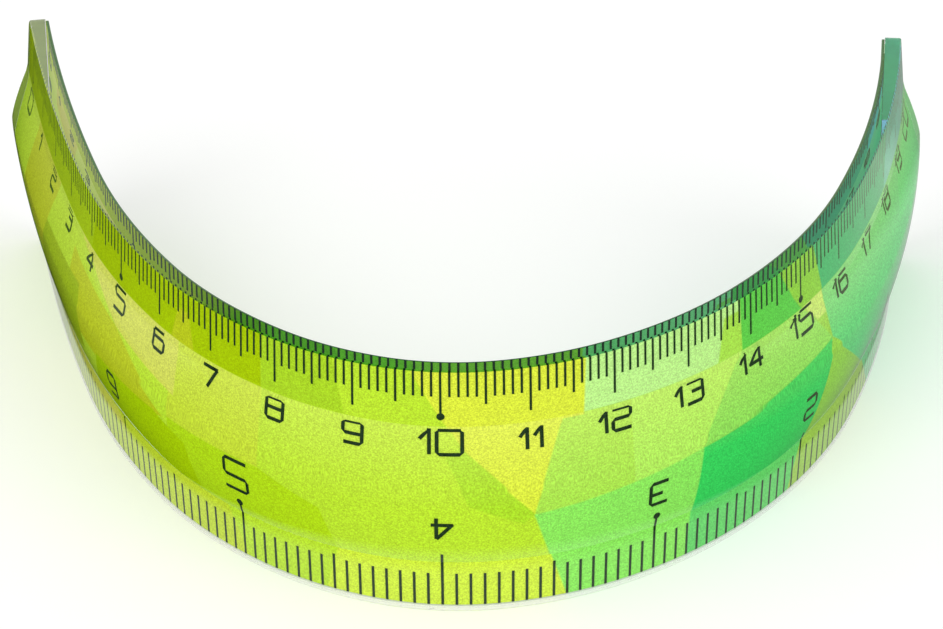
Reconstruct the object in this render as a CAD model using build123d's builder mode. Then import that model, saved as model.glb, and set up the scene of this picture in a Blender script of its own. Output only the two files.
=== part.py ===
from build123d import *
import os
from math import cos, degrees, radians, sin

# A soft clear ruler, 20 centimetres and 8 inches long, standing on its inch edge and bent into a U.
# The moulded body is thin at both long edges and crowned in the middle. The scales are printed
# behind it, on the inner side of the bend, over a coloured film and a protective backing film.
# Heights are measured up from the inch edge. Distances along the ruler are measured on the flat
# ruler from its middle, positive towards the end of the centimetre scale.

# Body
ruler_width = 32.5
edge_thickness = 2.0
crest_thickness = 4.9
crest_height_share = 0.56
bevel_width = 7.2
bevel_rise = 0.75
long_corner_chamfer = 0.15
end_corner_radius = 1.5

# Films and ink behind the body
ink_thickness = 0.06
colour_film_thickness = 0.2
backing_thickness = 0.15
film_inset = 0.25

# Bend, as a chain of arcs from one end to the other: shares of the flat length, and degrees
bend_length_shares = (0.19, 0.12, 0.095, 0.062, 0.066, 0.062, 0.095, 0.12, 0.19)
bend_angles = (7.5, 15.0, 21.0, 19.8, 27.5, 18.5, 21.2, 21.0, 15.9)
middle_heading = -4.3

# Centimetre scale, read along the top edge
centimetre_pitch = 10.0
centimetre_count = 20
centimetre_divisions = 10
dotted_centimetre_step = 5
millimetre_line_length = 3.9
half_centimetre_line_length = 4.9
centimetre_line_length = 6.3
dotted_centimetre_line_length = 6.5
metric_line_width = 0.26

# Inch scale, read along the bottom edge from the other end
inch_pitch = 25.4
inch_count = 8
inch_divisions = 16
sixteenth_line_length = 4.4
half_inch_line_length = 4.95
inch_line_length = 7.7
dotted_inch_line_length = 8.1
inch_line_width = 0.3

# Bare ends of the ruler, past the longer scale
end_margin = 3.4

# Round ends of the longest lines, and numerals
dot_radius = 0.46
dot_side_count = 12
stroke_width = 0.42
numeral_height = 3.2
numeral_width = 2.7
large_numeral_height = 3.7
large_numeral_width = 3.2
largest_numeral_height = 4.2
largest_numeral_width = 3.8
largest_inch_numeral = 5
numeral_gap = 0.3
metric_numeral_clearance = 1.7
large_numeral_clearance = 1.3
inch_numeral_clearance = 1.2
rounded_corner_cut = 0.5
sharp_corner_cut = 0.1

# Cuts and prisms run past what they meet by this much
overrun = 1.0

# Pen strokes of each numeral, as shares of its width and height from the lower left corner
closed_stroke_shares = {
    "0": [(0, 0), (1, 0), (1, 1), (0, 1)],
    "6": [(0, 0), (1, 0), (1, 0.56), (0, 0.56)],
    "8": [(0, 0), (1, 0), (1, 1), (0, 1)],
    "9": [(0, 0.44), (1, 0.44), (1, 1), (0, 1)],
}
rounded_stroke_shares = {
    "2": [(0, 1), (1, 1), (1, 0.52), (0, 0.52), (0, 0), (1, 0)],
    "3": [(0, 1), (1, 1), (1, 0), (0, 0)],
    "5": [(1, 1), (0, 1), (0, 0.54), (1, 0.54), (1, 0), (0, 0)],
    "6": [(0.95, 1), (0, 1), (0, 0.28)],
    "9": [(0.05, 0), (1, 0), (1, 0.72)],
}
sharp_stroke_shares = {
    "1": [(0, 0.58), (0.9, 1), (0.9, 0)],
    "4": [(0.74, 1), (0, 0.32), (1, 0.32)],
    "7": [(0, 1), (1, 1), (0.36, 0)],
}
straight_stroke_shares = {
    "3": [(0.3, 0.52), (1, 0.52)],
    "4": [(0.74, 1), (0.74, 0)],
    "8": [(0, 0.52), (1, 0.52)],
}
narrow_numeral_share = 0.5

flat_length = max(centimetre_count * centimetre_pitch, inch_count * inch_pitch) + 2 * end_margin
half_length = flat_length / 2
half_width = ruler_width / 2
bend_lengths = [share * flat_length for share in bend_length_shares]
bend_radii = [length / radians(angle) for length, angle in zip(bend_lengths, bend_angles)]
middle_arc = len(bend_angles) // 2
start_heading = middle_heading - sum(bend_angles[:middle_arc]) - bend_angles[middle_arc] / 2


def heading_vector(heading):
    """The way the ruler runs, in plan, at a heading in degrees."""
    return Vector(cos(radians(heading)), sin(radians(heading)), 0)


def outward_vector(heading):
    """Straight out of the convex side of the bend."""
    return Vector(sin(radians(heading)), -cos(radians(heading)), 0)


def plan_place(distance, start):
    """The point on the body's back face and the heading there, a distance along the flat ruler."""
    point, heading, left = start, start_heading, distance + half_length
    for length, radius in zip(bend_lengths, bend_radii):
        run = min(left, length)
        turned = heading + degrees(run / radius)
        point = point + (outward_vector(turned) - outward_vector(heading)) * radius
        heading, left = turned, left - run
        if left <= 0:
            break
    return point, heading


# The origin is the middle of the ruler's bottom edge, between the body's two faces
middle_point, middle_turn = plan_place(0, Vector(0, 0, 0))
bend_start = -outward_vector(middle_turn) * (edge_thickness / 2) - middle_point


def face_plane(distance, height, turned=False):
    """A plane on the body's back face: x runs along the ruler, y up and z out of the convex side."""
    point, heading = plan_place(distance, bend_start)
    along = heading_vector(heading) * (-1 if turned else 1)
    return Plane(point + Vector(0, 0, height), x_dir=along, z_dir=outward_vector(heading))


def bend_section(section):
    """Bends a strip: its section, x out of the convex side and y up, is turned along each arc."""
    start, heading = bend_start, start_heading
    for radius, angle in zip(bend_radii, bend_angles):
        outward = outward_vector(heading)
        centre = start - outward * radius
        with BuildSketch(Plane(start, x_dir=outward, z_dir=-heading_vector(heading))) as arc_section:
            add(section)
        revolve(arc_section.sketch, axis=Axis(centre, (0, 0, 1)), revolution_arc=angle)
        heading += angle
        start = centre + outward_vector(heading) * radius


def strip_section(inner, outer, inset):
    """Sketches the section of a flat strip between two offsets from the body's back face."""
    with BuildSketch() as section:
        with Locations(((inner + outer) / 2, half_width)):
            Rectangle(outer - inner, ruler_width - 2 * inset)
    return section.sketch


def cut_end_corners(inset):
    """Rounds the four corners of a strip whose edges lie an inset inside the ruler's outline."""
    for end in (-1, 1):
        for side in (-1, 1):
            corner = face_plane(end * half_length, half_width + side * (half_width - inset))
            with BuildSketch(corner) as sketch:
                with Locations((-end * end_corner_radius, -side * end_corner_radius)):
                    Rectangle(
                        end_corner_radius + overrun,
                        end_corner_radius + overrun,
                        align=(Align.MIN if end > 0 else Align.MAX, Align.MIN if side > 0 else Align.MAX),
                    )
                    Circle(end_corner_radius, mode=Mode.SUBTRACT)
            extrude(sketch.sketch, amount=crest_thickness, both=True, mode=Mode.SUBTRACT)


# Clear body: a bevel up from each thin edge and, from a crease, a crown that is highest a little
# above the middle, of two arcs that meet level at the crest
crease_thickness = edge_thickness + bevel_rise
crest_height = crest_height_share * ruler_width
with BuildSketch() as body_section:
    with BuildLine():
        lower = Polyline(
            (0, half_width),
            (0, 0),
            (edge_thickness, 0),
            (crease_thickness, bevel_width),
        )
        upper = Polyline(
            (0, half_width),
            (0, ruler_width),
            (edge_thickness, ruler_width),
            (crease_thickness, ruler_width - bevel_width),
        )
        TangentArc((crest_thickness, crest_height), lower @ 1, tangent=(0, -1))
        TangentArc((crest_thickness, crest_height), upper @ 1, tangent=(0, 1))
    make_face()
    corners = body_section.vertices().filter_by(lambda v: abs(abs(v.Y - half_width) - half_width) < overrun)
    chamfer(corners.group_by(Axis.X)[-1], long_corner_chamfer)

with BuildPart() as clear_body:
    bend_section(body_section.sketch)
    cut_end_corners(0)
clear_body.part.label = "clear_body"

# Ink layer, from which the numerals are cut so that they follow the bend
with BuildPart() as ink_layer:
    bend_section(strip_section(-ink_thickness, 0, film_inset))

# Films behind the ink
film_front = -ink_thickness
backing_front = film_front - colour_film_thickness
with BuildPart() as colour_film:
    bend_section(strip_section(backing_front, film_front, film_inset))
    cut_end_corners(film_inset)
colour_film.part.label = "colour_film"

with BuildPart() as backing_film:
    bend_section(strip_section(backing_front - backing_thickness, backing_front, film_inset))
    cut_end_corners(film_inset)
backing_film.part.label = "backing_film"


def print_lines(distances, root, length, width):
    """Prints lines of one kind. They start at root and run up, or down if length is negative."""
    middle = root + length / 2
    with Locations(*[face_plane(distance, middle) for distance in distances]):
        Box(width, abs(length), ink_thickness, align=(Align.CENTER, Align.CENTER, Align.MAX))


def print_dots(distances, height):
    """Prints the round ends of the longest lines."""
    for distance in distances:
        with BuildSketch(face_plane(distance, height)) as dot:
            RegularPolygon(dot_radius, dot_side_count)
        extrude(dot.sketch, amount=-ink_thickness)


def stroke_side(points, side, cut, closed):
    """One side of a pen stroke. A corner has one point on its inner side and two on its outer."""
    half_stroke = stroke_width / 2
    result = []
    for index, point in enumerate(points):
        before = point - points[index - 1]
        after = points[(index + 1) % len(points)] - point
        if not closed and point == points[0]:
            before = after
        if not closed and point == points[-1]:
            after = before
        before, after = before.normalized(), after.normalized()
        first, second = (Vector(-leg.Y, leg.X) * side * half_stroke for leg in (before, after))
        if before.cross(after).Z * side < 0:
            result.append(point + first + before * (half_stroke - cut))
            result.append(point + second - after * (half_stroke - cut))
        else:
            result.append(point + (first + second) / (1 + before.dot(after)))
    return result


def draw_numeral(figure, width, height):
    """Draws one numeral with its lower left corner at the origin of the present location."""
    pen_width, pen_height = width - stroke_width, height - stroke_width
    for strokes, cut, closed in (
        (closed_stroke_shares, rounded_corner_cut, True),
        (rounded_stroke_shares, rounded_corner_cut, False),
        (sharp_stroke_shares, sharp_corner_cut, False),
        (straight_stroke_shares, sharp_corner_cut, False),
    ):
        if figure not in strokes:
            continue
        foot = stroke_width / 2
        pen = [Vector(foot + x * pen_width, foot + y * pen_height) for x, y in strokes[figure]]
        left = stroke_side(pen, 1, cut, closed)
        right = stroke_side(pen, -1, cut, closed)
        if closed:
            Polygon(*right, align=None)
            Polygon(*left, align=None, mode=Mode.SUBTRACT)
        else:
            Polygon(*left, *reversed(right), align=None)


def figure_width(figure, width):
    """A 1 is narrower than the other figures."""
    return width * narrow_numeral_share if figure == "1" else width


def print_number(number, distance, foot, width, height, turned):
    """Prints a number with its foot at a height, centred on its line, or turned upside down."""
    figures = str(number)
    widths = [figure_width(figure, width) for figure in figures]
    total = sum(widths) + numeral_gap * (len(figures) - 1)
    with BuildSketch(face_plane(distance, foot + (height if turned else 0), turned)) as number_sketch:
        left = -total / 2
        for figure, wide in zip(figures, widths):
            with BuildSketch(mode=Mode.PRIVATE) as numeral:
                draw_numeral(figure, wide, height)
            with Locations((left, 0)):
                add(numeral.sketch)
            left += wide + numeral_gap
    extrude(number_sketch.sketch, amount=overrun, both=True)


def metric_distance(centimetres):
    """Where a centimetre mark lies: the scale is centred on the ruler."""
    return (centimetres - centimetre_count / 2) * centimetre_pitch


def inch_distance(inches):
    """Where an inch mark lies: the scale is centred and runs the other way."""
    return (inch_count / 2 - inches) * inch_pitch


# Lines of the centimetre scale, from the top edge down
metric_root = ruler_width - film_inset
millimetre_marks = [
    metric_distance(step / centimetre_divisions)
    for step in range(centimetre_count * centimetre_divisions)
    if 2 * step % centimetre_divisions
]
half_marks = [metric_distance(whole + 1 / 2) for whole in range(centimetre_count)]
dotted_wholes = range(0, centimetre_count + 1, dotted_centimetre_step)
centimetre_marks = [
    metric_distance(whole) for whole in range(centimetre_count) if whole not in dotted_wholes
]
dotted_marks = [metric_distance(whole) for whole in dotted_wholes]

with BuildPart() as millimetre_lines:
    print_lines(millimetre_marks, metric_root, -millimetre_line_length, metric_line_width)
millimetre_lines.part.label = "millimetre_lines"

with BuildPart() as half_centimetre_lines:
    print_lines(half_marks, metric_root, -half_centimetre_line_length, metric_line_width)
half_centimetre_lines.part.label = "half_centimetre_lines"

with BuildPart() as centimetre_lines:
    print_lines(centimetre_marks, metric_root, -centimetre_line_length, metric_line_width)
centimetre_lines.part.label = "centimetre_lines"

with BuildPart() as five_centimetre_lines:
    print_lines(dotted_marks, metric_root, -dotted_centimetre_line_length, metric_line_width)
    print_dots(dotted_marks, metric_root - dotted_centimetre_line_length)
five_centimetre_lines.part.label = "five_centimetre_lines"

# Lines of the inch scale, from the bottom edge up
inch_root = film_inset
sixteenth_marks = [
    inch_distance(step / inch_divisions)
    for step in range(inch_count * inch_divisions)
    if 2 * step % inch_divisions
]
half_inch_marks = [inch_distance(whole + 1 / 2) for whole in range(inch_count)]
even_inch_marks = [inch_distance(whole) for whole in range(0, inch_count + 1, 2)]
odd_inch_marks = [inch_distance(whole) for whole in range(1, inch_count, 2)]

with BuildPart() as sixteenth_inch_lines:
    print_lines(sixteenth_marks, inch_root, sixteenth_line_length, inch_line_width)
sixteenth_inch_lines.part.label = "sixteenth_inch_lines"

with BuildPart() as half_inch_lines:
    print_lines(half_inch_marks, inch_root, half_inch_line_length, inch_line_width)
half_inch_lines.part.label = "half_inch_lines"

with BuildPart() as even_inch_lines:
    print_lines(even_inch_marks, inch_root, inch_line_length, inch_line_width)
even_inch_lines.part.label = "even_inch_lines"

with BuildPart() as odd_inch_lines:
    print_lines(odd_inch_marks, inch_root, dotted_inch_line_length, inch_line_width)
    print_dots(odd_inch_marks, inch_root + dotted_inch_line_length)
odd_inch_lines.part.label = "odd_inch_lines"

# Numerals of both scales, clear of the dots. The inch numerals stand upside down on the ruler.
metric_dot_foot = metric_root - dotted_centimetre_line_length - dot_radius
inch_numeral_foot = inch_root + dotted_inch_line_length + dot_radius + inch_numeral_clearance
with BuildPart() as metric_numerals:
    for whole in range(centimetre_count + 1):
        large = whole in dotted_wholes
        wide = large_numeral_width if large else numeral_width
        high = large_numeral_height if large else numeral_height
        clearance = large_numeral_clearance if large else metric_numeral_clearance
        print_number(whole, metric_distance(whole), metric_dot_foot - clearance - high, wide, high, False)
    add(ink_layer.part, mode=Mode.INTERSECT)
metric_numerals.part.label = "metric_numerals"

with BuildPart() as inch_numerals:
    for whole in range(inch_count + 1):
        wide = largest_numeral_width if whole == largest_inch_numeral else numeral_width
        high = largest_numeral_height if whole == largest_inch_numeral else numeral_height
        print_number(whole, inch_distance(whole), inch_numeral_foot, wide, high, True)
    add(ink_layer.part, mode=Mode.INTERSECT)
inch_numerals.part.label = "inch_numerals"

pieces = [
    clear_body,
    colour_film,
    backing_film,
    millimetre_lines,
    half_centimetre_lines,
    centimetre_lines,
    five_centimetre_lines,
    sixteenth_inch_lines,
    half_inch_lines,
    even_inch_lines,
    odd_inch_lines,
    metric_numerals,
    inch_numerals,
]
os.makedirs("parts", exist_ok=True)
for piece in pieces:
    export_step(piece.part, f"parts/{piece.part.label}.step")
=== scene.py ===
import math

import bpy
import numpy as np
from mathutils import Matrix, Vector


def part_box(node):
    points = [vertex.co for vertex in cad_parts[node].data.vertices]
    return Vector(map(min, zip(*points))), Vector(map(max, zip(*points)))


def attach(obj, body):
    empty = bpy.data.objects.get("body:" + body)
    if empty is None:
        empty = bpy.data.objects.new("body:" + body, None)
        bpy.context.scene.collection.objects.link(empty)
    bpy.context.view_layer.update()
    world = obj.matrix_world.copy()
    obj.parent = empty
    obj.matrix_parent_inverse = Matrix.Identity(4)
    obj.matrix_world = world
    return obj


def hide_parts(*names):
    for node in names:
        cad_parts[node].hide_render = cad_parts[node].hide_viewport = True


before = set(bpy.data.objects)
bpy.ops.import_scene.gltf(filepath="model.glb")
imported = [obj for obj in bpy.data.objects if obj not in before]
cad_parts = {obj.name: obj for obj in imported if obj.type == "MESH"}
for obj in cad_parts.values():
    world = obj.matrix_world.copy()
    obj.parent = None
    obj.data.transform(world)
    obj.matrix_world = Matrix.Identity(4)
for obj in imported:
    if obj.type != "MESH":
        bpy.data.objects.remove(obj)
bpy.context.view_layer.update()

bl_info = {
    "name": "Flexible Ruler",
    "version": (1, 0, 0),
    "blender": (4, 5, 0),
    "location": "View3D > Sidebar > Ruler",
    "description": "Dresses a bent clear ruler: body, printed films, ink and stage",
    "category": "Object",
}

MM = 0.001
BODY_LOW, BODY_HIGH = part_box("clear_body")
BOTTOM, TOP = BODY_LOW[2], BODY_HIGH[2]
INK_NODES = tuple(name for name in sorted(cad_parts) if name.endswith(("_lines", "_numerals")))

# The bend, as a chain of arcs from the start of the centimetre scale: each arc's share of the flat
# length and the degrees that it turns, and the heading at the ruler's middle arc
LENGTH_SHARES = (0.19, 0.12, 0.095, 0.062, 0.066, 0.062, 0.095, 0.12, 0.19)
BEND_ANGLES = (7.5, 15.0, 21.0, 19.8, 27.5, 18.5, 21.2, 21.0, 15.9)
MIDDLE_HEADING = -4.3

# How fast the crown falls away from its crest, below it and above it
CROWN_POWERS = (2.0, 1.3)

# Points on each stretch of a mesh's ring, points round a corner of the ends, how many spreads of the
# bead its finer points reach to each side, and the angle from which an edge stays sharp
BACK_POINTS = 12
BEAD_POINTS = 19
CROWN_POINTS = 50
EDGE_POINTS = 5
FILM_POINTS = 7
CORNER_POINTS = 9
BEAD_REACH = 3
SHARP_ANGLE = math.radians(12)

# The body's materials by slot. A face is bonded if all its corners lie closer to the back than the
# reach, and part of the top edge if the upward part of its normal is more than the given share.
CLEAR_SLOT, BONDED_SLOT, EDGE_SLOT, END_SLOT = range(4)
BONDED_REACH = 0.001 * MM
TOP_FACING = 0.68

# Stretches in millimetres over which one tint or finish goes over into the next. The first four run
# along the flat ruler from its middle, the ink's runs back towards both ends, and the painted
# sheen's runs up from the bottom edge. The painted sheen, pale light painted into the print, stops
# at a height of its own.
START_TINT = (-78, -25)
END_TINT = (15, 90)
BACKING_TINT = (-10, 60)
END_SIDES = (-1, 1)
INK_FADE = (20, 75)
PAINTED_SHEEN_RISE = (14, 24)
PAINTED_SHEEN_STOP = 24.2

# The width of a facet's soft rim, and of the strip that shows as a film's cut edge, in millimetres
FACET_RIM = 0.25
CUT_EDGE = 0.1

# The stage, in metres: the lamps' places, their common target and their size, half the floor's
# width, and how near and how far the camera sees. The picture's width is in pixels.
LAMPS = {"key": (-0.5, -0.7, 0.9), "fill": (0.7, -0.5, 0.6)}
LAMP_TARGET = (0, 0.03, 0)
LAMP_SIZE = 0.7
FLOOR_REACH = 3.0
CLIP_START, CLIP_END = 0.01, 20
PICTURE_WIDTH = 943

# What mirror images show on the floor, as marks of a length in millimetres and a brightness: by the
# place in depth, by the place across, and by how far the floor is from the ruler along the ray
CARD_BY_DEPTH = ((15, 0.03), (100, 0.62), (112, 0.3))
CARD_BY_WIDTH = ((-150, 0.7), (-125, 0.02), (10, 0.02), (60, 1.0))
CARD_BY_NEARNESS = ((8, 0.62), (10.5, 0.0))

# What mirror images show of the backdrop, by the depth and by the height of the ray's direction:
# where its brightness begins and ends to change, and its level there
BACKDROP_BY_DEPTH = (-0.1, 0.4, 0.05, 1.0)
BACKDROP_BY_HEIGHT = (0.2, 0.5, 0.8, 0.2)

# Facets of the printed film: the palette's colour, then the corners in millimetres along the ruler
# from its middle and up from the inch edge. Each is convex and lies over those before it.
# Along the heights of 24.3 and 6.6 mm, near the creases, the facets hold print and painted shade and light:
# most strips above the upper crease are darker than the print below them, and most below the lower crease
# are lighter than the print above them.
FACETS = (
    ("lime", ((-106, -1), (12, -1), (12, 34), (-106, 34))),
    ("lemon", ((-37, 6.6), (-22, 6.6), (-22, 24.3), (-37, 24.3))),
    ("grove", ((-37, 6.6), (-12, 6.6), (-14, 12), (-22, 14.5), (-37, 14.5))),
    ("straw", ((-64.8, 24.3), (-50, 18.5), (-36, 16.8), (-36, 24.3))),
    ("citron", ((-66, 13.5), (-44, 12.5), (-38, 14), (-50, 18.5), (-66, 20.5))),
    ("fern", ((-80, 11), (-60, 11.5), (-62, 17.5), (-80, 17))),
    ("leaf", ((-58, 6.6), (-32, 6.6), (-34, 12.5), (-40, 14), (-55, 13.5))),
    ("citron", ((-94, 15), (-80, 14), (-76, 24.3), (-92, 24.3))),
    ("moss", ((-106, 24.3), (-60, 24.3), (-57, 34), (-106, 34))),
    ("olive", ((-60, 24.3), (-22, 24.3), (-22, 34), (-57, 34))),
    ("citron", ((-37.5, 24.3), (-33, 24.3), (-34, 29), (-36, 29))),
    ("fresh", ((-22, 24.3), (-11, 24.3), (-13, 34), (-22, 34))),
    ("olive", ((-106, -1), (-78, -1), (-78, 6.6), (-106, 6.6))),
    ("lemon", ((-78, -1), (-24, -1), (-28, 6.6), (-78, 6.6))),
    ("straw", ((-80, 4.2), (-50, 4.2), (-55, 7.6), (-80, 9))),
    ("primrose", ((-14, -1), (15, -1), (12.5, 6.6), (-12, 6.6))),
    ("spring", ((10.2, 12.4), (22, 13.6), (22, 24.3), (12, 24.3))),
    ("mint", ((22, 13.6), (31.5, 14.8), (38.5, 24.3), (22, 24.3))),
    ("apple", ((31.5, 15.2), (56, 17), (54.5, 24.3), (38.5, 24.3))),
    ("pale", ((12, 24.3), (38.5, 24.3), (38, 34), (12, 34))),
    ("spring", ((34.5, 24.3), (38.8, 24.3), (38, 30), (35.5, 30))),
    ("grass", ((38.5, 24.3), (53, 24.3), (48, 34), (38, 34))),
    ("clover", ((10.2, 12.8), (14.6, -1), (33, -1), (33, 11), (31.5, 15.2))),
    ("emerald", ((31.5, 15.2), (30.6, 6.6), (51, 6.6), (56, 17))),
    ("jade", ((30.6, 6.6), (30, -1), (48, -1), (51, 6.6))),
    ("sage", ((51, 6.6), (48, -1), (76, -1), (70, 6.6))),
    ("aqua", ((56, 17), (70, 6.6), (106, 6.6), (106, 24.3), (54.5, 24.3))),
    ("citrus", ((56, 17), (51, 6.6), (70, 6.6))),
    ("aqua", ((70, 6.6), (76, -1), (106, -1), (106, 6.6))),
    ("teal", ((52.3, 34), (54.9, 24.3), (106, 24.3), (106, 34))),
    # Painted reflection: a pale patch at the right end of the top bevel.
    ("painted_reflection", ((80, 24.3), (106, 24.3), (106, 34), (84, 34))),
    ("citrus", ((44, 34), (52.3, 34), (55, 25), (56, 17), (48.5, 26.5))),
    # Painted highlight: a pale triangle just under the upper crease at the right.
    ("painted_highlight", ((50.5, 24.3), (53.4, 20.6), (55.5, 20.6), (55, 24.3))),
    ("meadow", ((84, 17), (106, 14), (106, 23), (88, 21))),
    ("meadow", ((88, 18), (106, 18), (106, 8), (95, 8))),
    ("sprig", ((0.5, 20), (3, 14.5), (9, 11.8), (10.2, 12.9), (3, 22))),
    ("yellow", ((0.5, 24.6), (2.5, 21), (10.2, 13), (13.9, 24.6))),
    ("yellow", ((-4.8, 34), (0.8, 24), (16.2, 24), (16.6, 34))),
)


def rgb(name, words, *screen):
    """A colour that a user can change. It is given as seen on a screen, 0 to 255, and kept linear."""
    shares = [value / 255 for value in screen]
    linear = [value / 12.92 if value < 0.04045 else ((value + 0.055) / 1.055) ** 2.4 for value in shares]
    return bpy.props.FloatVectorProperty(
        name=name, description=words, subtype="COLOR", size=3, min=0, max=1, default=linear
    )


def length(name, words, millimetres):
    """A length that a user can change, kept in metres."""
    return bpy.props.FloatProperty(
        name=name, description=words, unit="LENGTH", precision=5, min=0, default=millimetres * MM
    )


def angle(name, words, degrees):
    """An angle that a user can change, kept in radians."""
    return bpy.props.FloatProperty(
        name=name, description=words, subtype="ANGLE", default=math.radians(degrees)
    )


def number(name, words, value):
    """A plain number that a user can change."""
    return bpy.props.FloatProperty(name=name, description=words, default=value)


class RulerSizes(bpy.types.PropertyGroup):
    """Sizes of the bent ruler. They are those of the model that it dresses, but for a lower bevel, the
    bead and the tuck, which keep the front just inside it."""

    flat_length: length("Length", "Length of the flat ruler", 210)
    edge: length("Edge", "Thickness of both long edges", 2.0)
    crest: length("Crest", "Thickness of the crown", 4.9)
    crest_height: length("Crest height", "Height of the thickest part of the crown", 18.2)
    bevel_width: length("Bevel width", "Width of the bevel at each long edge", 7.2)
    bevel_rise: length("Bevel rise", "Rise of the bevel", 0.55)
    bead_height: length("Bead height", "Height of the rounded bead along the upper crease", 0.08)
    bead_width: length("Bead width", "Width of that bead, as the spread of a bell curve", 0.22)
    edge_chamfer: length("Edge chamfer", "Size of the broken front corners", 0.15)
    tuck: length("Tuck", "How far the front stays inside the model that it dresses", 0.02)
    end_round: length("End round", "Radius of the rounded corners of the ends", 1.5)
    ink: length("Ink", "Thickness of the ink layer", 0.06)
    film: length("Film", "Thickness of the coloured film", 0.2)
    backing: length("Backing", "Thickness of the backing film", 0.15)
    film_inset: length("Film inset", "How far the films stay inside the outline", 0.25)
    pitch: length("Pitch", "Distance between two rings of the mesh", 0.5)


class RulerColours(bpy.types.PropertyGroup):
    """Colours of the clear body, the ink and the print."""

    clear: rgb("Clear", "Tint of the clear body", 255, 255, 252)
    edge_start: rgb("Edge start", "Tint of the top edge at the start of the scale", 215, 190, 255)
    edge_middle: rgb("Edge middle", "Tint of the top edge in the middle", 36, 118, 104)
    edge_end: rgb("Edge end", "Tint of the top edge at the end of the scale", 59, 150, 225)
    haze: rgb("Haze", "Bloom on the top edge", 205, 215, 200)
    start_face: rgb("Start face", "The end face at the start of the scale", 165, 188, 95)
    end_face: rgb("End face", "The end face at the end of the scale", 150, 240, 150)
    ink: rgb("Ink", "Printed lines and numerals", 16, 38, 12)
    # The ink goes over to this paler colour towards both ends, which lie deepest.
    far_end_ink: rgb("Thin ink", "Ink towards both ends, where it lies thin", 105, 140, 50)
    rim: rgb("Rim", "Cut edge of the films", 92, 122, 84)
    moss: rgb("Moss", "Along the top edge at the left", 178, 212, 30)
    olive: rgb("Olive", "Along the top edge left of the middle", 168, 200, 12)
    citron: rgb("Citron", "Patches between lime and olive", 188, 203, 34)
    fern: rgb("Fern", "Darker patch of the left end", 158, 188, 24)
    grove: rgb("Grove", "Low field between leaf and lime", 178, 219, 28)
    primrose: rgb("Primrose", "Along the bottom edge in the middle", 207, 234, 64)
    leaf: rgb("Leaf", "Deeper patch low on the left", 170, 208, 10)
    lime: rgb("Lime", "Most of the left half", 187, 226, 52)
    lemon: rgb("Lemon", "Lighter fields of the left half", 196, 220, 54)
    straw: rgb("Straw", "The palest field of the left half", 208, 216, 86)
    fresh: rgb("Fresh", "Greener lime along the top edge", 170, 212, 42)
    sprig: rgb("Sprig", "Beside the wedge, a little greener than lime", 172, 219, 46)
    yellow: rgb("Yellow", "The wedge right of the middle", 216, 230, 64)
    pale: rgb("Pale", "Right of the wedge, along the top edge", 188, 238, 140)
    spring: rgb("Spring", "Right of the wedge, on the crown", 170, 225, 80)
    mint: rgb("Mint", "The next field to the right", 176, 233, 94)
    apple: rgb("Apple", "Light green of the right half", 140, 220, 90)
    grass: rgb("Grass", "Green along the top edge at the right", 98, 206, 76)
    clover: rgb("Clover", "Green right of the middle, low", 141, 229, 95)
    emerald: rgb("Emerald", "The deepest green", 58, 209, 94)
    jade: rgb("Jade", "Below the deepest green", 103, 212, 106)
    sage: rgb("Sage", "Pale field low on the right", 163, 208, 76)
    citrus: rgb("Citrus", "The two yellow-green triangles of the right half", 148, 212, 66)
    aqua: rgb("Aqua", "Most of the right end", 92, 213, 122)
    teal: rgb("Teal", "Along the top edge at the right end", 80, 190, 112)
    # Painted reflection: pale colour painted at the right end of the top bevel.
    painted_reflection: rgb("Frost", "Pale end of the top edge at the right", 110, 205, 158)
    # Painted highlight: pale colour painted just under the upper crease at the right.
    painted_highlight: rgb("Flare", "Pale triangle under the crease at the right", 196, 230, 110)
    meadow: rgb("Meadow", "Bright green at the right end", 84, 220, 118)
    # Painted sheen: pale light painted into the print over the upper crown.
    painted_sheen: rgb("Veil", "Pale light over the upper crown", 238, 246, 135)
    backing: rgb("Backing", "The protective film on the inner side, at the left", 178, 216, 110)
    backing_end: rgb("Backing end", "The same film at the right", 96, 200, 132)
    floor: rgb("Floor", "Floor and background", 248, 248, 248)


class RulerFinish(bpy.types.PropertyGroup):
    """Gloss and unevenness of each surface. A grain is given in spots per metre."""

    refraction: number("Refraction", "How strongly the clear plastic bends sight", 1.5)
    clear_roughness: number("Clear roughness", "Most roughness of the clear body", 0.04)
    clear_grain: number("Clear grain", "Unevenness of the body's gloss", 900)
    start_haze: number("Start haze", "Share of bloom on the top edge at the start of the scale", 0.2)
    end_haze: number("End haze", "Share of bloom on the top edge at the end of the scale", 0.1)
    end_roughness: number("End roughness", "Roughness of the cut end faces", 0.5)
    end_grain: number("End grain", "Spots on the end faces", 700)
    film_roughness: number("Film roughness", "Roughness of the coloured film", 0.45)
    film_grain: number("Film grain", "Fine grain of the print", 5600)
    grain_depth: number("Grain depth", "How strongly that grain changes the colour", 1.1)
    grain_base: number("Grain base", "Least share of the colour that the grain leaves", 0.45)
    # How much painted sheen goes into the print under the upper crease.
    painted_sheen: number("Veil", "Most share of the pale light under the upper crease", 0.24)
    backing_roughness: number("Backing roughness", "Roughness of the backing film", 0.35)
    backing_grain: number("Backing grain", "Spots on the backing film", 120)
    worn: number("Worn", "Share of the colour that a spot keeps", 0.8)
    ink_roughness: number("Ink roughness", "Roughness of the ink", 0.6)
    ink_grain: number("Ink grain", "Uneven cover of the ink", 2600)
    thin_gain: number("Thin gain", "How many times brighter a thin spot of ink is", 2.2)
    thin_lift: number("Thin lift", "What is added to that brightness", 0.02)
    # How far the ink goes over to the paler colour at both ends.
    fade: number("Fade", "Share of thin ink at both ends", 0.7)


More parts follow.
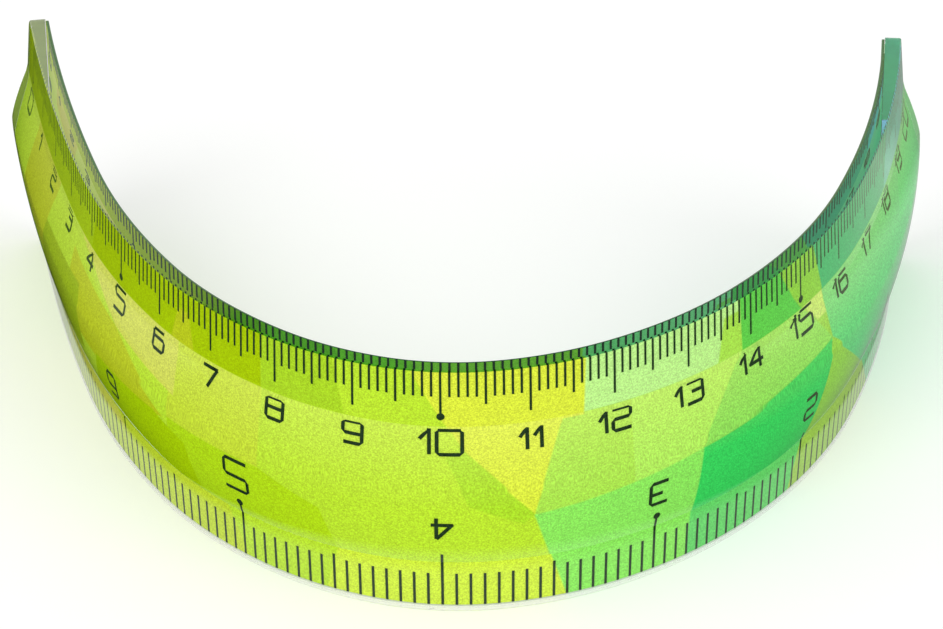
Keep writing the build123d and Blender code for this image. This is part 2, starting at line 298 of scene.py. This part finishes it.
class StageSettings(bpy.types.PropertyGroup):
    """Camera and lights."""

    elevation: angle("Elevation", "How far the camera looks down", 31.16)
    roll: angle("Roll", "Turn of the picture", -0.475)
    distance: length("Distance", "From the camera to its target", 565.3)
    target_x: length("Target across", "Where the camera looks, to the right of the middle", 3.6)
    target_y: length("Target depth", "Where the camera looks, behind the edge", 1.0)
    target_z: length("Target height", "Where the camera looks, above the floor", 38.68)
    focal_pixels: number("Focal length", "Focal length in pixels of the picture", 5074.0)
    room: number("Room", "Even light from all round", 0.75)
    key: number("Key", "Watts of the lamp at the left", 4.6)
    fill: number("Fill", "Watts of the lamp at the right", 2.2)
    lift: number("Lift", "Added to the floor as the camera sees it", 0.1)


def sizes():
    """The ruler's sizes as they are set now."""
    return bpy.context.scene.ruler_sizes


def colours():
    """The ruler's colours as they are set now."""
    return bpy.context.scene.ruler_colours


def finish():
    """The ruler's finish as it is set now."""
    return bpy.context.scene.ruler_finish


def outward(heading):
    """Straight out of the convex side, in plan, at a heading in radians."""
    return np.stack([np.sin(heading), -np.cos(heading)], axis=-1)


def bend_places(distance, offset, height):
    """Points of the bent ruler. Each arc turns about its own centre, so a point lies on the arc's
    circle at the heading reached there, moved out of the convex side by the offset. The ruler's
    middle comes to the origin, between the faces of its edge."""
    total = sizes().flat_length
    lengths = np.array(LENGTH_SHARES) * total
    turns = np.radians(BEND_ANGLES)
    radii = lengths / turns
    starts = np.concatenate([[0.0], np.cumsum(lengths)[:-1]]) - total / 2
    middle = len(turns) // 2
    first = math.radians(MIDDLE_HEADING) - turns[:middle].sum() - turns[middle] / 2
    headings = first + np.concatenate([[0.0], np.cumsum(turns)])
    steps = (outward(headings[1:]) - outward(headings[:-1])) * radii[:, None]
    joints = np.concatenate([[[0.0, 0.0]], np.cumsum(steps, axis=0)])

    def plan(along):
        """The point on the body's back face and the heading there."""
        arc = np.clip(np.searchsorted(starts, along, side="right") - 1, 0, len(turns) - 1)
        heading = headings[arc] + (along - starts[arc]) / radii[arc]
        point = joints[arc] + (outward(heading) - outward(headings[arc])) * radii[arc][..., None]
        return point, heading

    centre, centre_heading = plan(np.array([0.0]))
    shift = -centre[0] - outward(centre_heading)[0] * sizes().edge / 2
    point, heading = plan(distance)
    flat = point + shift + outward(heading) * offset[..., None]
    return np.concatenate([flat, np.broadcast_to(height, distance.shape)[..., None]], axis=-1)


def stations():
    """Distances along the flat ruler for the mesh's rings. They are even, and closer in the rounded
    ends, where they follow a quarter circle: the radius times 1 less the cosine."""
    size = sizes()
    half, corner = size.flat_length / 2, size.end_round
    even = np.linspace(-half + corner, half - corner, int((size.flat_length - 2 * corner) / size.pitch) + 1)
    round_in = corner * (1 - np.cos(np.linspace(0, math.pi / 2, CORNER_POINTS)))[:-1]
    return np.concatenate([-half + round_in, even, (half - round_in)[::-1]])


def edge_inset(along, corner, inset):
    """How far a long edge draws in near an end: a quarter circle of the corner's radius."""
    reach = np.clip(corner - (sizes().flat_length / 2 - np.abs(along)), 0, corner)
    return inset + corner - np.sqrt(np.maximum(corner**2 - reach**2, 0))


def front_offset(height):
    """The body's thickness at a height: each bevel rises straight, and from its crease the crown
    curves up to the crest, which it nears as a power of the distance from it. A bell-shaped bead
    runs along the upper crease."""
    size = sizes()
    below = height < size.crest_height
    inward = np.minimum(height, TOP - height)
    bevel = size.edge + size.bevel_rise * inward / size.bevel_width
    reach = np.where(below, size.crest_height, TOP - size.crest_height) - size.bevel_width
    share = np.abs(height - size.crest_height) / reach
    power = np.where(below, *CROWN_POWERS)
    crown = size.crest - (size.crest - size.edge - size.bevel_rise) * share**power
    bead = size.bead_height * np.exp(-(((height - TOP + size.bevel_width) / size.bead_width) ** 2) / 2)
    return np.where(inward < size.bevel_width, bevel, crown) + bead - size.tuck


def tube_mesh(name, points, flat):
    """A closed skin over rings of points: quads between neighbouring rings, and one face over each
    end. flat keeps each point's place on the flat ruler for the materials."""
    rings, count = points.shape[:2]
    ring = np.arange(count)
    start = (np.arange(rings - 1) * count)[:, None]
    after = np.roll(ring, -1)
    quads = np.stack([start + ring, start + after, start + count + after, start + count + ring], axis=-1)
    mesh = bpy.data.meshes.new(name)
    faces = quads.reshape(-1, 4).tolist()
    faces.append(ring[::-1].tolist())
    faces.append((ring + (rings - 1) * count).tolist())
    mesh.from_pydata(points.reshape(-1, 3).tolist(), [], faces)
    place = mesh.attributes.new("flat_place", "FLOAT_VECTOR", "POINT")
    place.data.foreach_set("vector", flat.reshape(-1))
    mesh.polygons.foreach_set("use_smooth", np.ones(len(faces), dtype=bool))
    mesh.set_sharp_from_angle(angle=SHARP_ANGLE)
    mesh.update()
    piece = bpy.data.objects.new(name, mesh)
    bpy.context.scene.collection.objects.link(piece)
    return piece


def body_section(low, high):
    """One ring of the clear body for each pair of edges: up the flat back, over the top edge, over
    its broken corner, down the front, and back under the bottom edge. The points lie closer at the
    bead. Returns offsets and heights."""
    size = sizes()
    low, high = low[:, None], high[:, None]
    crease_low, crease_high = size.bevel_width, TOP - size.bevel_width
    share = np.linspace(0, 1, BACK_POINTS)
    back = low + (high - low) * share[:-1]
    top = high - size.edge_chamfer
    bottom = low + size.edge_chamfer
    spread = BEAD_REACH * size.bead_width
    bead = np.linspace(crease_high + spread, crease_high - spread, BEAD_POINTS)
    fixed = np.concatenate([bead, np.linspace(bead[-1], crease_low, CROWN_POINTS)[1:]])
    front = np.concatenate(
        [
            top + (bead[0] - top) * share[:-1],
            np.broadcast_to(fixed, (len(low), len(fixed))),
            crease_low + (bottom - crease_low) * share[1:],
        ],
        axis=1,
    )
    across = np.linspace(0, 1, EDGE_POINTS)
    over = (front_offset(high) - size.edge_chamfer) * across
    under = (front_offset(low) - size.edge_chamfer) * across[:0:-1]
    offsets = [np.zeros_like(back), over, front_offset(front), under]
    heights = [back, np.broadcast_to(high, over.shape), front, np.broadcast_to(low, under.shape)]
    return np.concatenate(offsets, axis=1), np.concatenate(heights, axis=1)


def strip_section(inner, outer, low, high):
    """One ring of a flat film for each pair of edges: up its inner face and down its outer one."""
    share = np.linspace(0, 1, FILM_POINTS)
    low, high = low[:, None], high[:, None]
    up = low + (high - low) * share
    heights = np.concatenate([up, up[:, ::-1]], axis=1)
    offsets = np.concatenate([np.full_like(up, inner), np.full_like(up, outer)], axis=1)
    return offsets, heights


def swept_piece(name, offsets, heights, along):
    """Carries a section along the bend."""
    distance = np.broadcast_to(along[:, None], offsets.shape)
    points = bend_places(distance, offsets, heights)
    flat = np.stack([distance, heights, offsets], axis=-1)
    return tube_mesh(name, points, np.ascontiguousarray(flat, dtype=np.float32))


def new_material(name):
    """An empty node material with its output."""
    material = bpy.data.materials.new(name)
    material.use_nodes = True
    tree = material.node_tree
    tree.nodes.clear()
    return material, tree, tree.nodes.new("ShaderNodeOutputMaterial")


def math_node(tree, operation, *values, clamp=False):
    """A Math node's result. Each value is a socket or a plain number."""
    node = tree.nodes.new("ShaderNodeMath")
    node.operation = operation
    node.use_clamp = clamp
    for socket, value in zip(node.inputs, values):
        if isinstance(value, (int, float)):
            socket.default_value = value
        else:
            tree.links.new(value, socket)
    return node.outputs[0]


def map_range(tree, value, low, high, first=0.0, last=1.0):
    """Goes straight from the first level to the last while the value goes from low to high."""
    node = tree.nodes.new("ShaderNodeMapRange")
    for name, level in (("From Min", low), ("From Max", high), ("To Min", first), ("To Max", last)):
        node.inputs[name].default_value = level
    tree.links.new(value, node.inputs["Value"])
    return node.outputs[0]


def split(tree, vector):
    """The three parts of a vector, as sockets X, Y and Z."""
    node = tree.nodes.new("ShaderNodeSeparateXYZ")
    tree.links.new(vector, node.inputs[0])
    return node.outputs


def mix_shader(tree, factor, first, second):
    """Goes over from the first shader to the second as the factor goes from 0 to 1."""
    node = tree.nodes.new("ShaderNodeMixShader")
    for socket, value in zip(node.inputs, (factor, first, second)):
        tree.links.new(value, socket)
    return node.outputs[0]


def mix_colour(tree, factor, first, second, blend="MIX"):
    """Mixes two colours. The factor and both colours are each a socket or plain. The Mix node keeps
    its sockets for colours at 6 and 7, and their result at 2."""
    node = tree.nodes.new("ShaderNodeMix")
    node.data_type = "RGBA"
    node.blend_type = blend
    for index, value in ((0, factor), (6, first), (7, second)):
        if hasattr(value, "is_output"):
            tree.links.new(value, node.inputs[index])
        else:
            node.inputs[index].default_value = value if index == 0 else (*value[:3], 1)
    return node.outputs[2]


def principled(tree, **values):
    """A Principled shader with its plain values set on its own sockets."""
    shader = tree.nodes.new("ShaderNodeBsdfPrincipled")
    for name, value in values.items():
        shader.inputs[name.replace("_", " ")].default_value = value
    return shader


def coat(tree, output, colour, **values):
    """Gives a material a Principled surface whose colour comes from a socket."""
    shader = principled(tree, **values)
    tree.links.new(colour, shader.inputs["Base Color"])
    tree.links.new(shader.outputs[0], output.inputs["Surface"])


def flat_place(tree):
    """The place on the flat ruler as a vector in metres: along it, up it and out of it."""
    node = tree.nodes.new("ShaderNodeAttribute")
    node.attribute_name = "flat_place"
    return node.outputs["Vector"]


def ramp_along(tree, place, stretch):
    """0 before a stretch along the ruler, in millimetres, 1 after it, and even between."""
    low, high = stretch
    return map_range(tree, split(tree, place)["X"], low * MM, high * MM)


def grain(tree, place, scale):
    """Fine even noise, from 0 to 1."""
    noise = tree.nodes.new("ShaderNodeTexNoise")
    noise.inputs["Scale"].default_value = scale
    tree.links.new(place, noise.inputs["Vector"])
    return noise.outputs["Fac"]


def mottled(tree, place, colour, scale):
    """A colour with soft spots, which keep the worn share of it."""
    spots = mix_colour(tree, grain(tree, place, scale), (finish().worn,) * 3, (1.0,) * 3)
    return mix_colour(tree, 1.0, colour, spots, "MULTIPLY")


def facet_mask(tree, place, corners):
    """1 inside a convex facet and 0 outside: the least signed distance to its sides, over the
    width of its rim, so that it is one half on the side itself."""
    centre = np.mean(corners, axis=0)
    least = None
    for start, end in zip(corners, corners[1:] + corners[:1]):
        start, end = np.array(start) * MM, np.array(end) * MM
        normal = np.array([start[1] - end[1], end[0] - start[0]])
        normal /= np.linalg.norm(normal)
        if np.dot(centre * MM - start, normal) < 0:
            normal = -normal
        dot = tree.nodes.new("ShaderNodeVectorMath")
        dot.operation = "DOT_PRODUCT"
        tree.links.new(place, dot.inputs[0])
        dot.inputs[1].default_value = (*normal, 0)
        side = math_node(tree, "SUBTRACT", dot.outputs["Value"], float(np.dot(start, normal)))
        least = side if least is None else math_node(tree, "MINIMUM", least, side)
    return math_node(tree, "MULTIPLY_ADD", least, 1 / (FACET_RIM * MM), 0.5, clamp=True)


def rim_colour(tree, place, colour):
    """Darkens a film at its cut top edge."""
    edge_height = TOP - sizes().film_inset - CUT_EDGE * MM
    cut_edge = math_node(tree, "GREATER_THAN", split(tree, place)["Y"], edge_height)
    return mix_colour(tree, cut_edge, colour, colours().rim)


def film_material():
    """The coloured print: one facet over the next, with painted shade and light along the creases,
    a painted sheen under the upper crease, and fine grain.
    """
    palette, look = colours(), finish()
    material, tree, output = new_material("coloured_print")
    place = flat_place(tree)
    colour = palette.fresh
    for name, corners in FACETS:
        colour = mix_colour(tree, facet_mask(tree, place, corners), colour, getattr(palette, name))
    colour = rim_colour(tree, place, colour)
    # Painted sheen: pale light mixed into the print's colour. It rises up the crown and stops just under
    # the upper crease.
    height = split(tree, place)["Y"]
    low, high = PAINTED_SHEEN_RISE
    rise = map_range(tree, height, low * MM, high * MM, 0.0, look.painted_sheen)
    painted_sheen = math_node(tree, "MULTIPLY", rise, math_node(tree, "LESS_THAN", height, PAINTED_SHEEN_STOP * MM))
    colour = mix_colour(tree, painted_sheen, colour, palette.painted_sheen)
    fine = grain(tree, place, look.film_grain)
    shaded = tree.nodes.new("ShaderNodeVectorMath")
    shaded.operation = "SCALE"
    tree.links.new(colour, shaded.inputs[0])
    strength = math_node(tree, "MULTIPLY_ADD", fine, look.grain_depth, look.grain_base)
    tree.links.new(strength, shaded.inputs["Scale"])
    coat(tree, output, shaded.outputs[0], Roughness=look.film_roughness, Specular_IOR_Level=0.0)
    return material


def backing_material():
    """The thin protective film on the inner side, faintly mottled."""
    palette, look = colours(), finish()
    material, tree, output = new_material("backing")
    place = flat_place(tree)
    side = ramp_along(tree, place, BACKING_TINT)
    colour = mix_colour(tree, side, palette.backing, palette.backing_end)
    colour = rim_colour(tree, place, mottled(tree, place, colour, look.backing_grain))
    coat(tree, output, colour, Roughness=look.backing_roughness)
    return material


def glass_material(name, start_tint, middle_tint, end_tint, haze=None):
    """Clear soft plastic. It bends sight and mirrors the room, and lamps shine straight through. Its
    tint goes over from one end of the ruler to the other, and so does the haze on a cut edge."""
    look = finish()
    material, tree, output = new_material(name)
    place = flat_place(tree)
    glass = principled(tree, IOR=look.refraction, Transmission_Weight=1.0)
    before = ramp_along(tree, place, START_TINT)
    after = ramp_along(tree, place, END_TINT)
    tint = mix_colour(tree, before, start_tint, middle_tint)
    tint = mix_colour(tree, after, tint, end_tint)
    tree.links.new(tint, glass.inputs["Base Color"])
    rough = math_node(tree, "MULTIPLY", grain(tree, place, look.clear_grain), look.clear_roughness)
    tree.links.new(rough, glass.inputs["Roughness"])
    surface = glass.outputs[0]
    if haze is not None:
        bloom = tree.nodes.new("ShaderNodeBsdfDiffuse")
        bloom.inputs["Color"].default_value = (*haze, 1)
        at_start = math_node(tree, "SUBTRACT", 1.0, before)
        share = math_node(tree, "MULTIPLY", at_start, look.start_haze)
        share = math_node(tree, "MULTIPLY_ADD", after, look.end_haze, share)
        surface = mix_shader(tree, share, surface, bloom.outputs[0])
    see_through = tree.nodes.new("ShaderNodeBsdfTransparent")
    light_path = tree.nodes.new("ShaderNodeLightPath")
    for kind in ("Is Diffuse Ray", "Is Shadow Ray"):
        surface = mix_shader(tree, light_path.outputs[kind], surface, see_through.outputs[0])
    tree.links.new(surface, output.inputs["Surface"])
    return material


def bonded_material():
    """The body's back face, which is bonded to the print and mirrors nothing."""
    material, tree, output = new_material("bonded_face")
    see_through = tree.nodes.new("ShaderNodeBsdfTransparent")
    tree.links.new(see_through.outputs[0], output.inputs["Surface"])
    return material


def end_face_material():
    """The cut end faces: satin, one colour at each end of the ruler, with worn spots."""
    palette, look = colours(), finish()
    material, tree, output = new_material("end_face")
    place = flat_place(tree)
    side = ramp_along(tree, place, END_SIDES)
    colour = mix_colour(tree, side, palette.start_face, palette.end_face)
    coat(tree, output, mottled(tree, place, colour, look.end_grain), Roughness=look.end_roughness)
    return material


def ink_material():
    """Dark printed ink with an uneven cover, paler towards the ruler's ends, which lie deepest."""
    palette, look = colours(), finish()
    material, tree, output = new_material("dark_ink")
    place = tree.nodes.new("ShaderNodeTexCoord").outputs["Object"]
    thin_spot = [min(1.0, look.thin_gain * value + look.thin_lift) for value in palette.ink]
    colour = mix_colour(tree, grain(tree, place, look.ink_grain), palette.ink, thin_spot)
    # Paler towards both ends, as they lie deeper.
    low, high = INK_FADE
    fade = map_range(tree, split(tree, place)["Y"], low * MM, high * MM, 0.0, look.fade)
    colour = mix_colour(tree, fade, colour, palette.far_end_ink)
    coat(tree, output, colour, Roughness=look.ink_roughness, Specular_IOR_Level=0.0)
    return material


def body_slots(mesh):
    """The material slot of each face of the body. Quads with every corner on the back are bonded,
    faces that look up are the top edge, the last two faces are the ends, and the rest are clear."""
    flat = np.empty(3 * len(mesh.vertices), dtype=np.float32)
    mesh.attributes["flat_place"].data.foreach_get("vector", flat)
    normals = np.empty(3 * len(mesh.polygons), dtype=np.float32)
    mesh.polygons.foreach_get("normal", normals)
    corners = np.empty(len(mesh.loops), dtype=np.int32)
    mesh.loops.foreach_get("vertex_index", corners)
    quads = corners[: 4 * (len(mesh.polygons) - 2)].reshape(-1, 4)
    slots = np.full(len(mesh.polygons), CLEAR_SLOT, dtype=np.int32)
    slots[:-2][flat[2::3][quads].max(axis=1) < BONDED_REACH] = BONDED_SLOT
    slots[normals[2::3] > TOP_FACING] = EDGE_SLOT
    slots[-2:] = END_SLOT
    return slots


class RULER_OT_clear_body(bpy.types.Operator):
    """Makes the clear moulded body of the ruler"""

    bl_idname = "ruler.clear_body"
    bl_label = "Clear Body"

    def execute(self, context):
        along = stations()
        draw_in = edge_inset(along, sizes().end_round, 0.0)
        piece = swept_piece("crowned_body", *body_section(BOTTOM + draw_in, TOP - draw_in), along)
        tint = colours()
        slots = {
            CLEAR_SLOT: glass_material("clear_plastic", tint.clear, tint.clear, tint.clear),
            BONDED_SLOT: bonded_material(),
            EDGE_SLOT: glass_material(
                "tinted_edge", tint.edge_start, tint.edge_middle, tint.edge_end, tint.haze
            ),
            END_SLOT: end_face_material(),
        }
        for slot in sorted(slots):
            piece.data.materials.append(slots[slot])
        piece.data.polygons.foreach_set("material_index", body_slots(piece.data))
        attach(piece, "root")
        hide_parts("clear_body")
        return {"FINISHED"}


class RULER_OT_films(bpy.types.Operator):
    """Makes the printed film and the backing film behind the body"""

    bl_idname = "ruler.films"
    bl_label = "Films"

    def execute(self, context):
        size = sizes()
        along = stations()
        draw_in = edge_inset(along, size.end_round, size.film_inset)
        low, high = BOTTOM + draw_in, TOP - draw_in
        front, middle = -size.ink, -size.ink - size.film
        for name, inner, outer, node, slot, material in (
            ("faceted_film", middle, front, "colour_film", "coloured_print", film_material()),
            ("inner_film", middle - size.backing, middle, "backing_film", "backing", backing_material()),
        ):
            piece = swept_piece(name, *strip_section(inner, outer, low, high), along)
            piece.data.materials.append(material)
            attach(piece, "root")
            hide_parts(node)
        return {"FINISHED"}


class RULER_OT_ink(bpy.types.Operator):
    """Inks the lines and numerals of both scales"""

    bl_idname = "ruler.ink"
    bl_label = "Ink"

    def execute(self, context):
        ink = ink_material()
        for name in INK_NODES:
            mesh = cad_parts[name].data
            mesh.materials.clear()
            mesh.materials.append(ink)
        return {"FINISHED"}


def area_light(name, place, watts):
    """A square lamp at a place, turned to the common target. Mirror images don't show it."""
    data = bpy.data.lights.new(name, "AREA")
    data.size = LAMP_SIZE
    data.energy = watts
    lamp = bpy.data.objects.new(name, data)
    bpy.context.scene.collection.objects.link(lamp)
    lamp.location = place
    lamp.visible_glossy = False
    lamp.rotation_euler = (Vector(LAMP_TARGET) - Vector(place)).to_track_quat("-Z", "Y").to_euler()


def ray_kinds(tree):
    """What kind of ray meets a surface or the world. The first result is 1 for a ray that was
    mirrored, the second is 1 for one that comes from the camera or through the clear body, and both
    are 0 for every other ray. The third is the length of the ray."""
    kinds = tree.nodes.new("ShaderNodeLightPath").outputs
    passed = math_node(tree, "SUBTRACT", 1.0, kinds["Is Transmission Ray"])
    in_mirror = math_node(tree, "MULTIPLY", kinds["Is Glossy Ray"], passed)
    seen = math_node(tree, "MAXIMUM", kinds["Is Camera Ray"], kinds["Is Transmission Ray"])
    return in_mirror, seen, kinds["Ray Length"]


def level_along(tree, value, marks):
    """A level that goes straight from mark to mark. Each mark is a length in millimetres and its
    level, and each stretch between two marks adds its own rise to the levels before it."""
    level = marks[0][1]
    for (low, first), (high, last) in zip(marks, marks[1:]):
        rise = map_range(tree, value, low * MM, high * MM, 0.0, last - first)
        level = math_node(tree, "ADD", rise, level)
    return level


def floor_material(colour, lift):
    """A plain floor. The camera sees it a little brighter. In mirror images it is bright close to the
    ruler's foot and towards the sides, as white cards on a dark table are."""
    material, tree, output = new_material("floor")
    in_mirror, seen, ray_length = ray_kinds(tree)
    plain = tree.nodes.new("ShaderNodeBsdfDiffuse")
    plain.inputs["Color"].default_value = (*colour, 1)
    glow = tree.nodes.new("ShaderNodeEmission")
    tree.links.new(math_node(tree, "MULTIPLY", seen, lift), glow.inputs["Strength"])
    bright = tree.nodes.new("ShaderNodeAddShader")
    tree.links.new(plain.outputs[0], bright.inputs[0])
    tree.links.new(glow.outputs[0], bright.inputs[1])
    parts = split(tree, tree.nodes.new("ShaderNodeTexCoord").outputs["Object"])
    deep = level_along(tree, parts["Y"], CARD_BY_DEPTH)
    wide = level_along(tree, parts["X"], CARD_BY_WIDTH)
    card = math_node(tree, "MULTIPLY", deep, wide)
    near = level_along(tree, ray_length, CARD_BY_NEARNESS)
    mirrored = tree.nodes.new("ShaderNodeEmission")
    tree.links.new(math_node(tree, "MAXIMUM", card, near), mirrored.inputs["Strength"])
    surface = mix_shader(tree, in_mirror, bright.outputs[0], mirrored.outputs[0])
    tree.links.new(surface, output.inputs["Surface"])
    return material


def studio_world(room):
    """Even light from all round and a white backdrop. Mirror images show the backdrop bright at the
    back and near the horizon, and the camera's side dark."""
    world = bpy.data.worlds.new("studio")
    world.use_nodes = True
    tree = world.node_tree
    in_mirror, seen, _ = ray_kinds(tree)
    even = math_node(tree, "MULTIPLY_ADD", seen, 1 - room, room)
    parts = split(tree, tree.nodes.new("ShaderNodeTexCoord").outputs["Generated"])
    deep = map_range(tree, parts["Y"], *BACKDROP_BY_DEPTH)
    high = map_range(tree, parts["Z"], *BACKDROP_BY_HEIGHT)
    backdrop = math_node(tree, "MULTIPLY", deep, high)
    mix = tree.nodes.new("ShaderNodeMix")
    for socket, value in zip((mix.inputs[0], mix.inputs[2], mix.inputs[3]), (in_mirror, even, backdrop)):
        tree.links.new(value, socket)
    background = tree.nodes["Background"]
    background.inputs["Color"].default_value = (1, 1, 1, 1)
    tree.links.new(mix.outputs[0], background.inputs["Strength"])
    return world


def add_floor(stage):
    """A wide square floor, under the ruler's bottom edge."""
    mesh = bpy.data.meshes.new("floor")
    reach = FLOOR_REACH
    corners = [(-reach, -reach, 0), (reach, -reach, 0), (reach, reach, 0), (-reach, reach, 0)]
    mesh.from_pydata(corners, [], [(0, 1, 2, 3)])
    mesh.materials.append(floor_material(colours().floor, stage.lift))
    floor = bpy.data.objects.new("floor", mesh)
    bpy.context.scene.collection.objects.link(floor)


def add_camera(stage):
    """A camera in front of the ruler, as far above the floor as its elevation says, which looks at
    its target."""
    data = bpy.data.cameras.new("camera")
    data.sensor_fit = "HORIZONTAL"
    data.lens = stage.focal_pixels * data.sensor_width / PICTURE_WIDTH
    data.clip_start, data.clip_end = CLIP_START, CLIP_END
    camera = bpy.data.objects.new("camera", data)
    bpy.context.scene.collection.objects.link(camera)
    target = Vector((stage.target_x, stage.target_y, stage.target_z))
    back = Vector((0, -math.cos(stage.elevation), math.sin(stage.elevation)))
    turn = back.to_track_quat("Z", "Y").to_matrix() @ Matrix.Rotation(stage.roll, 3, "Z")
    camera.matrix_world = Matrix.Translation(target + back * stage.distance) @ turn.to_4x4()
    bpy.context.scene.camera = camera


class RULER_OT_stage(bpy.types.Operator):
    """Sets the floor, the lights and the camera"""

    bl_idname = "ruler.stage"
    bl_label = "Stage"

    def execute(self, context):
        stage = context.scene.ruler_stage
        add_floor(stage)
        context.scene.world = studio_world(stage.room)
        for name, place in LAMPS.items():
            area_light(name, place, getattr(stage, name))
        add_camera(stage)
        context.scene.view_settings.view_transform = "Standard"
        return {"FINISHED"}


class RULER_PT_panel(bpy.types.Panel):
    """Lists the ruler's pieces and its values"""

    bl_label = "Flexible Ruler"
    bl_idname = "RULER_PT_panel"
    bl_space_type = "VIEW_3D"
    bl_region_type = "UI"
    bl_category = "Ruler"

    def draw(self, context):
        for operator in OPERATORS:
            self.layout.operator(operator.bl_idname)
        for group_name in GROUPS:
            group = getattr(context.scene, group_name)
            column = self.layout.column()
            for name in group.bl_rna.properties.keys():
                if name not in ("rna_type", "name"):
                    column.prop(group, name)


OPERATORS = (RULER_OT_clear_body, RULER_OT_films, RULER_OT_ink, RULER_OT_stage)
GROUPS = {
    "ruler_sizes": RulerSizes,
    "ruler_colours": RulerColours,
    "ruler_finish": RulerFinish,
    "ruler_stage": StageSettings,
}


def register():
    """Adds the classes, and the groups of values to every scene."""
    for group in (*GROUPS.values(), *OPERATORS, RULER_PT_panel):
        bpy.utils.register_class(group)
    for name, group in GROUPS.items():
        setattr(bpy.types.Scene, name, bpy.props.PointerProperty(type=group))


def unregister():
    """Takes them away again, in the other order."""
    for name in GROUPS:
        delattr(bpy.types.Scene, name)
    for group in (RULER_PT_panel, *OPERATORS[::-1], *GROUPS.values()):
        bpy.utils.unregister_class(group)


def main():
    """Makes every piece."""
    register()
    bpy.ops.ruler.clear_body()
    bpy.ops.ruler.films()
    bpy.ops.ruler.ink()
    bpy.ops.ruler.stage()


if __name__ == "__main__":
    main()
